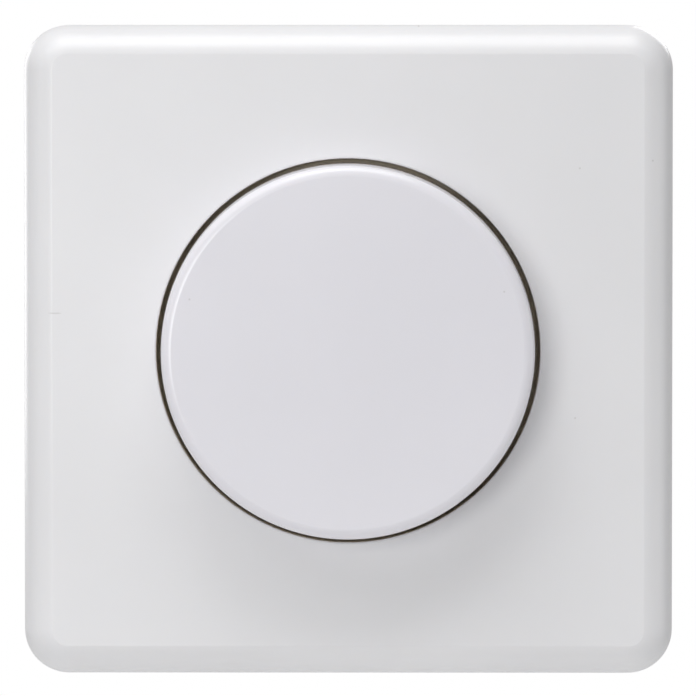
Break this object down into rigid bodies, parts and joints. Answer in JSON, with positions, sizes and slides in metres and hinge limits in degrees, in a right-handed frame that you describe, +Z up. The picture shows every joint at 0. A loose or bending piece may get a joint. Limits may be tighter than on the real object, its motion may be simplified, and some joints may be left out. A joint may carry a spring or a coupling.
{
  "type": "rotary dimmer switch",
  "caption": "Square white wall dimmer with rounded corners, a large round push knob, support ring, claws and a wall-box housing holding its working parts.",
  "frame": {"origin": "on the knob's axis at the wall plane, midway between the two upper and lower box-screw holes", "axes": "+Z up, +Y into the wall, +X to the right as seen from the front; the face looks towards -Y"},
  "size_m": [0.0804, 0.04, 0.0804],
  "materials": {
    "white_plate": "satin gloss moulded white",
    "white_knob": "satin gloss moulded white",
    "nickel_brass": "nickel plated",
    "brass": "turned",
    "turned_steel": "turned",
    "spring_steel": "bright",
    "inner_plastic": "moulded",
    "track": "carbon track on laminate",
    "rotor_plastic": "natural nylon",
    "bronze": "bright",
    "tinned": "tinned",
    "galvanised_steel": "galvanised",
    "housing_plastic": "moulded anthracite",
    "zinc_screw": "zinc plated",
    "rivet": "bright",
    "board": "solder resist",
    "triac": "epoxy body and tinned tab",
    "choke_core": "painted powder core",
    "copper_wire": "enamelled copper",
    "film_capacitor": "potted box",
    "small_capacitor": "potted box",
    "fuse_glass": "clear",
    "nickel": "nickel plated",
    "resistor": "lacquered",
    "diac": "lacquered",
    "plated_brass": "nickel plated"
  },
  "bodies": {
    "base": {"cover_plate": "white_plate", "fixing_nut": "nickel_brass", "threaded_bush": "brass", "pot_case": "inner_plastic", "pot_track": "track", "pot_pin_left": "tinned", "pot_pin_middle": "tinned", "pot_pin_right": "tinned", "switch_case": "inner_plastic", "switch_spring": "spring_steel", "switch_contact_left": "bronze", "switch_contact_right": "bronze", "support_ring": "galvanised_steel", "housing": "housing_plastic", "rear_cover": "housing_plastic", "circuit_board": "board", "triac": "triac", "choke_core": "choke_core", "choke_winding": "copper_wire", "capacitor": "film_capacitor", "small_capacitor": "small_capacitor", "fuse_tube": "fuse_glass", "fuse_cap_lower": "nickel", "fuse_cap_upper": "nickel", "fuse_clip_lower": "tinned", "fuse_clip_upper": "tinned", "resistor_left": "resistor", "resistor_right": "resistor", "diac": "diac", "ring_rivet_1": "rivet", "ring_rivet_2": "rivet", "ring_rivet_3": "rivet", "ring_rivet_4": "rivet", "terminal_cage_left": "plated_brass", "terminal_screw_left": "zinc_screw", "terminal_cage_middle": "plated_brass", "terminal_screw_middle": "zinc_screw", "terminal_cage_right": "plated_brass", "terminal_screw_right": "zinc_screw"},
    "plunger": {"switch_plunger": "rotor_plastic", "contact_bridge": "bronze"},
    "knob": {"knob": "white_knob", "shaft": "turned_steel", "shaft_clip": "spring_steel"},
    "rotor": {"pot_rotor": "rotor_plastic", "pot_wiper": "bronze"},
    "claw_left": {"claw_left": "galvanised_steel"},
    "claw_right": {"claw_right": "galvanised_steel"},
    "claw_screw_left": {"claw_screw_left": "zinc_screw"},
    "claw_screw_right": {"claw_screw_right": "zinc_screw"}
  },
  "joints": [
    {"name": "push_in", "type": "slide", "parent": "base", "child": "plunger", "axis": [0, 1, 0], "range_m": [0, 0.002], "stiffness_N_per_m": 1500, "springref_m": -0.0005, "deforming": ["switch_spring"]},
    {"name": "knob_turn", "type": "hinge", "parent": "plunger", "child": "knob", "pos_m": [0, 0, 0], "axis": [0, 1, 0], "range_deg": [0, 270]},
    {"name": "rotor_turn", "type": "hinge", "parent": "base", "child": "rotor", "pos_m": [0, 0, 0], "axis": [0, 1, 0], "range_deg": [0, 270]},
    {"name": "claw_screw_left_turn", "type": "hinge", "parent": "base", "child": "claw_screw_left", "pos_m": [-0.0246, 0, 0], "axis": [0, 1, 0], "range_deg": [0, 1120]},
    {"name": "claw_left_swing", "type": "hinge", "parent": "base", "child": "claw_left", "pos_m": [-0.0214, 0.0014, 0], "axis": [0, 0, 1], "range_deg": [0, 28]},
    {"name": "claw_screw_right_turn", "type": "hinge", "parent": "base", "child": "claw_screw_right", "pos_m": [0.0246, 0, 0], "axis": [0, 1, 0], "range_deg": [0, 1120]},
    {"name": "claw_right_swing", "type": "hinge", "parent": "base", "child": "claw_right", "pos_m": [0.0214, 0.0014, 0], "axis": [0, 0, -1], "range_deg": [0, 28]}
  ],
  "couplings": [
    {"joint": "rotor_turn", "follows": "knob_turn", "ratio": 1},
    {"joint": "claw_left_swing", "follows": "claw_screw_left_turn", "ratio": 0.025},
    {"joint": "claw_right_swing", "follows": "claw_screw_right_turn", "ratio": 0.025}
  ]
}
